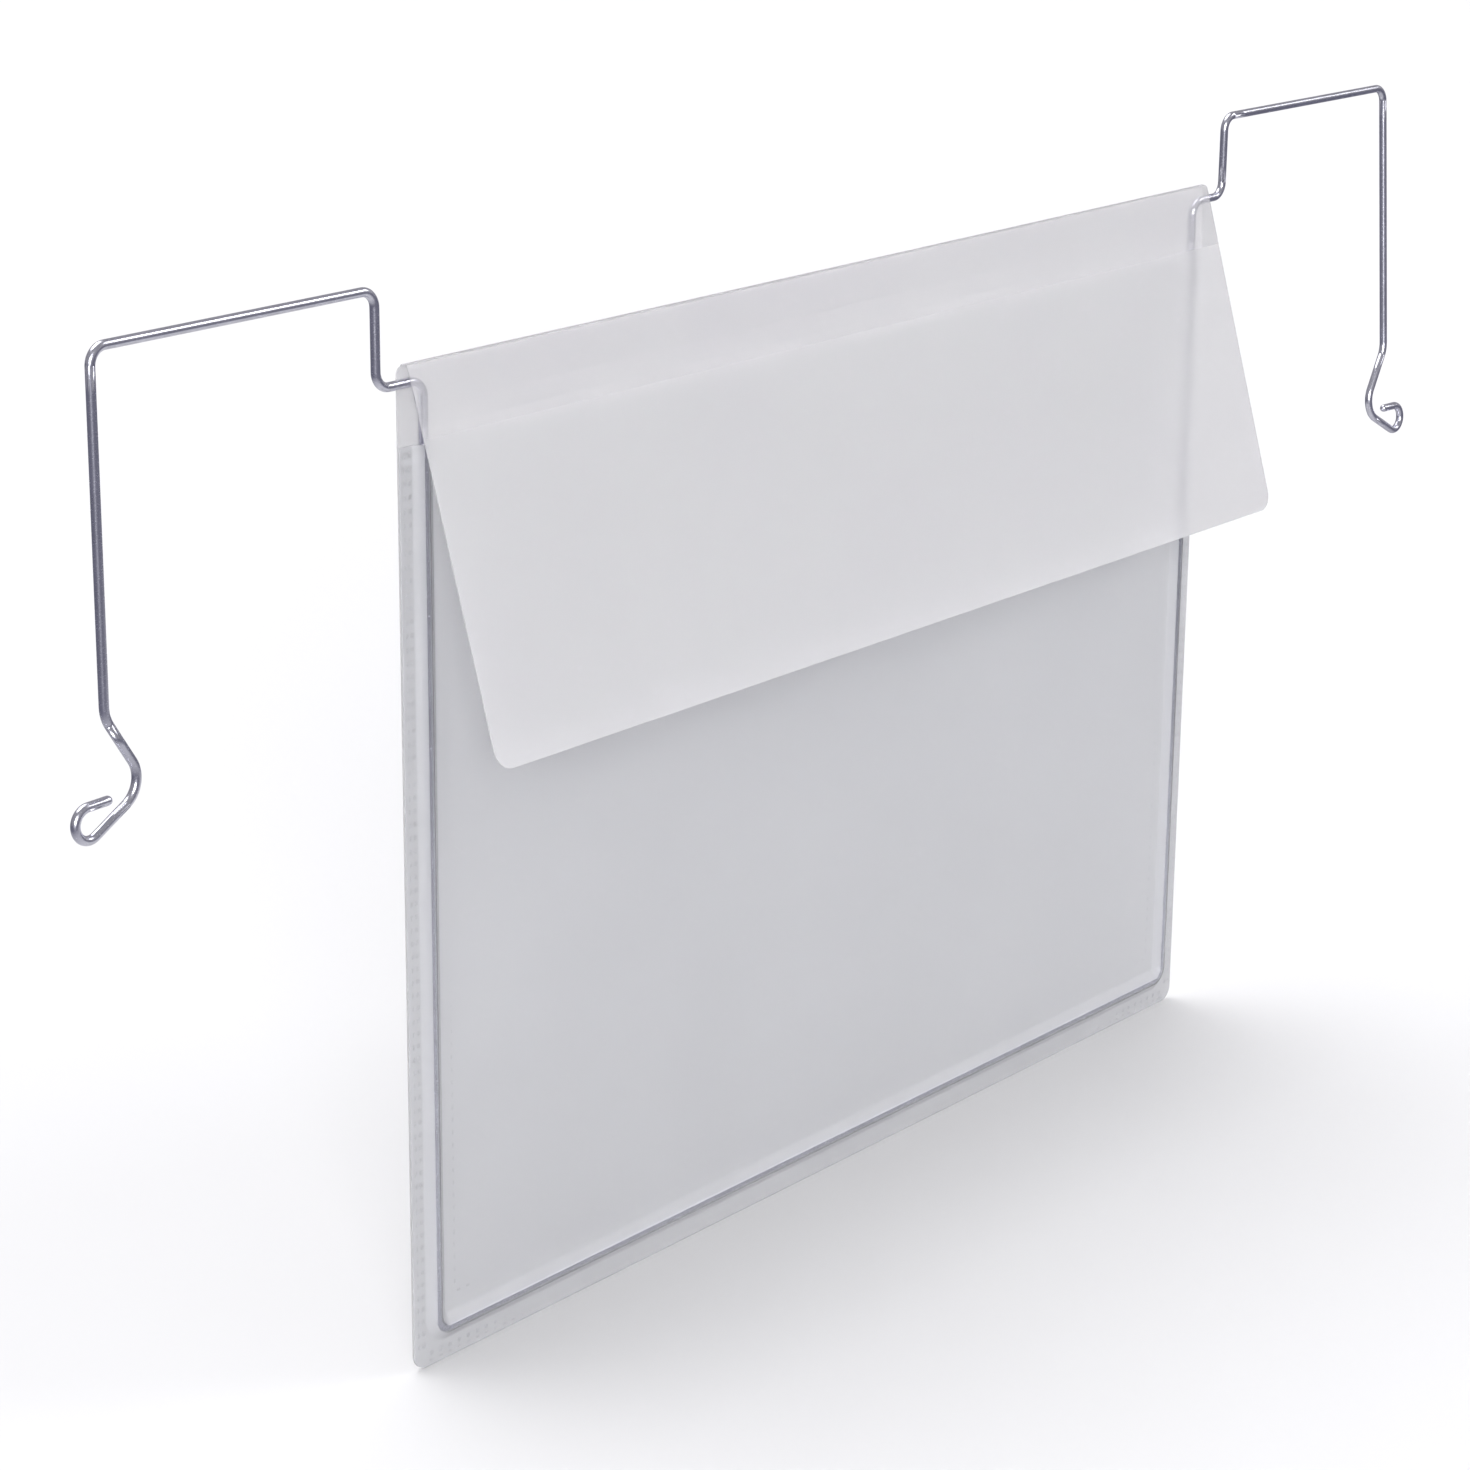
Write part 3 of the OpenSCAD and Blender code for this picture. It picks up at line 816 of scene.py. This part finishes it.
class POCKET_OT_stage(bpy.types.Operator):
    """Floor, room, lights and camera"""

    bl_idname = "pocket.stage"
    bl_label = "Stage"

    def execute(self, context):
        scene, stage = context.scene, context.scene.pocket.stage
        self.make_floor(stage)
        self.make_room(scene, stage)
        self.make_lights(scene, stage)
        self.make_camera(scene, stage)
        scene.view_settings.view_transform = "Standard"
        scene.cycles.use_denoising = True
        scene.cycles.transparent_max_bounces = BOUNCES
        scene.cycles.max_bounces = BOUNCES
        scene.cycles.transmission_bounces = BOUNCES
        return {"FINISHED"}

    def make_floor(self, stage):
        """A wide disc of floor: rings of points round the pocket, level and just below it. Its colour differs
        for the camera, for rays through the films, and for mirrored rays, where it fades from near to far.
        The darker floor through the films is painted shade on them, and the dark far floor in the wire is a
        painted reflection."""
        turn = np.linspace(0, 2 * np.pi, FLOOR_POINTS)
        rings = np.concatenate([[0.0], np.geomspace(FLOOR_FROM, FLOOR_TO, FLOOR_RINGS)])
        x, y = rings[:, None] * np.cos(turn), rings[:, None] * np.sin(turn)
        level = np.full_like(x, BACK_LOW.z - stage.floor_gap)
        grid = np.stack([x, y, level], -1)
        floor = new_piece("floor", grid.reshape(-1, 3), quads(*grid.shape[:2]))
        made, tree, shader = new_material("Pale floor")
        place = tree.nodes.new("ShaderNodeTexCoord")
        away = node(tree, "ShaderNodeVectorMath", operation="LENGTH")
        tree.links.new(place.outputs["Object"], away.inputs[0])
        # Mirrored rays see the floor fade to dark far off: a painted reflection in the wire.
        fade = node(tree, "ShaderNodeMapRange", From_Min=stage.near_r, From_Max=stage.far_r)
        tree.links.new(away.outputs["Value"], fade.inputs["Value"])
        mirrored = node(tree, "ShaderNodeMix", data_type="RGBA")
        mirrored.inputs["A"].default_value = (*stage.floor_near, 1)
        mirrored.inputs["B"].default_value = (*stage.floor_far_painted_reflection, 1)
        tree.links.new(fade.outputs["Result"], mirrored.inputs["Factor"])
        path = tree.nodes.new("ShaderNodeLightPath")
        # Rays through the films see the darker floor: painted shade on the films.
        around = node(tree, "ShaderNodeMix", data_type="RGBA")
        around.inputs["A"].default_value = (*stage.floor_behind_painted_shade, 1)
        tree.links.new(mirrored.outputs["Result"], around.inputs["B"])
        tree.links.new(path.outputs["Glossy Depth"], around.inputs["Factor"])
        pale = node(tree, "ShaderNodeMix", data_type="RGBA")
        pale.inputs["B"].default_value = (*stage.floor, 1)
        tree.links.new(around.outputs["Result"], pale.inputs["A"])
        tree.links.new(path.outputs["Is Camera Ray"], pale.inputs["Factor"])
        tree.links.new(pale.outputs["Result"], shader.inputs["Base Color"])
        shader.inputs["Roughness"].default_value = FLOOR_ROUGH
        shader.inputs["Specular IOR Level"].default_value = FLOOR_SPECULAR
        floor.data.materials.append(made)

    def make_room(self, scene, stage):
        """A room that is dim where the wire mirrors it, softly bright as light on matt surfaces, and as pale
        as the floor to the camera."""
        world = bpy.data.worlds.new("Room")
        scene.world = world
        world.use_nodes = True
        tree = world.node_tree
        dim = tree.nodes["Background"]
        dim.inputs["Color"].default_value = (*stage.room, 1)
        soft = node(tree, "ShaderNodeBackground", Color=(*stage.room_soft, 1))
        pale = node(tree, "ShaderNodeBackground", Color=(1, 1, 1, 1))
        path = tree.nodes.new("ShaderNodeLightPath")
        lit = tree.nodes.new("ShaderNodeMixShader")
        tree.links.new(path.outputs["Is Diffuse Ray"], lit.inputs["Fac"])
        tree.links.new(dim.outputs["Background"], lit.inputs[1])
        tree.links.new(soft.outputs["Background"], lit.inputs[2])
        pick = tree.nodes.new("ShaderNodeMixShader")
        tree.links.new(path.outputs["Is Camera Ray"], pick.inputs["Fac"])
        tree.links.new(lit.outputs["Shader"], pick.inputs[1])
        tree.links.new(pale.outputs["Background"], pick.inputs[2])
        tree.links.new(pick.outputs["Shader"], tree.nodes["World Output"].inputs["Surface"])

    def make_lights(self, scene, stage):
        """Three soft lights that reach the whole floor alike: a wide one overhead, and two in front, at the
        left and at the right."""
        tilt = stage.overhead_tilt
        for name, strength, spread, place in (
                ("overhead", stage.overhead, stage.overhead_spread, (0, math.sin(tilt), math.cos(tilt))),
                ("left", stage.left, stage.left_spread, stage.left_place),
                ("right", stage.right, stage.right_spread, stage.right_place)):
            data = bpy.data.lights.new(name, "SUN")
            data.energy, data.angle = strength, spread
            lamp = bpy.data.objects.new(name, data)
            lamp.location = place
            lamp.rotation_euler = (-Vector(place)).to_track_quat("-Z", "Y").to_euler()
            scene.collection.objects.link(lamp)

    def make_camera(self, scene, stage):
        """The camera, from its place, heading, downward look and roll."""
        az, el, roll = stage.azimuth, stage.elevation, stage.roll
        ahead = Vector((math.sin(az) * math.cos(el), math.cos(az) * math.cos(el), -math.sin(el)))
        level = Vector((math.cos(az), -math.sin(az), 0))
        right = level * math.cos(roll) + level.cross(ahead) * math.sin(roll)
        up = right.cross(ahead)
        data = bpy.data.cameras.new("camera")
        data.lens, data.sensor_width = stage.lens, SENSOR_WIDTH
        data.clip_end = VIEW_END
        camera = bpy.data.objects.new("camera", data)
        turn = Matrix((right, up, -ahead)).transposed().to_4x4()
        camera.matrix_world = Matrix.Translation(Vector(stage.camera)) @ turn
        scene.collection.objects.link(camera)
        scene.camera = camera


class POCKET_PT_panel(bpy.types.Panel):
    """Sidebar panel of the pocket"""

    bl_idname = "POCKET_PT_panel"
    bl_label = "Document pocket"
    bl_space_type = "VIEW_3D"
    bl_region_type = "UI"
    bl_category = "Pocket"

    def draw(self, context):
        settings = context.scene.pocket
        for step in STEPS:
            self.layout.operator(step.bl_idname)
        for group in (settings.film, settings.seam, settings.wire, settings.finish, settings.stage):
            box = self.layout.box()
            for name in group.__annotations__:
                box.prop(group, name)


GROUPS = (FilmSizes, SeamSizes, WireSizes, Finishes, StageSizes, PocketSettings)
STEPS = (POCKET_OT_folded_film, POCKET_OT_front_film, POCKET_OT_seams, POCKET_OT_wire, POCKET_OT_stage)


def register():
    for made in (*GROUPS, *STEPS, POCKET_PT_panel):
        bpy.utils.register_class(made)
    bpy.types.Scene.pocket = PointerProperty(type=PocketSettings)


def unregister():
    del bpy.types.Scene.pocket
    for made in reversed((*GROUPS, *STEPS, POCKET_PT_panel)):
        bpy.utils.unregister_class(made)


def main():
    register()
    bpy.ops.pocket.folded_film()
    bpy.ops.pocket.front_film()
    bpy.ops.pocket.seams()
    bpy.ops.pocket.wire()
    bpy.ops.pocket.stage()


if __name__ == "__main__":
    main()
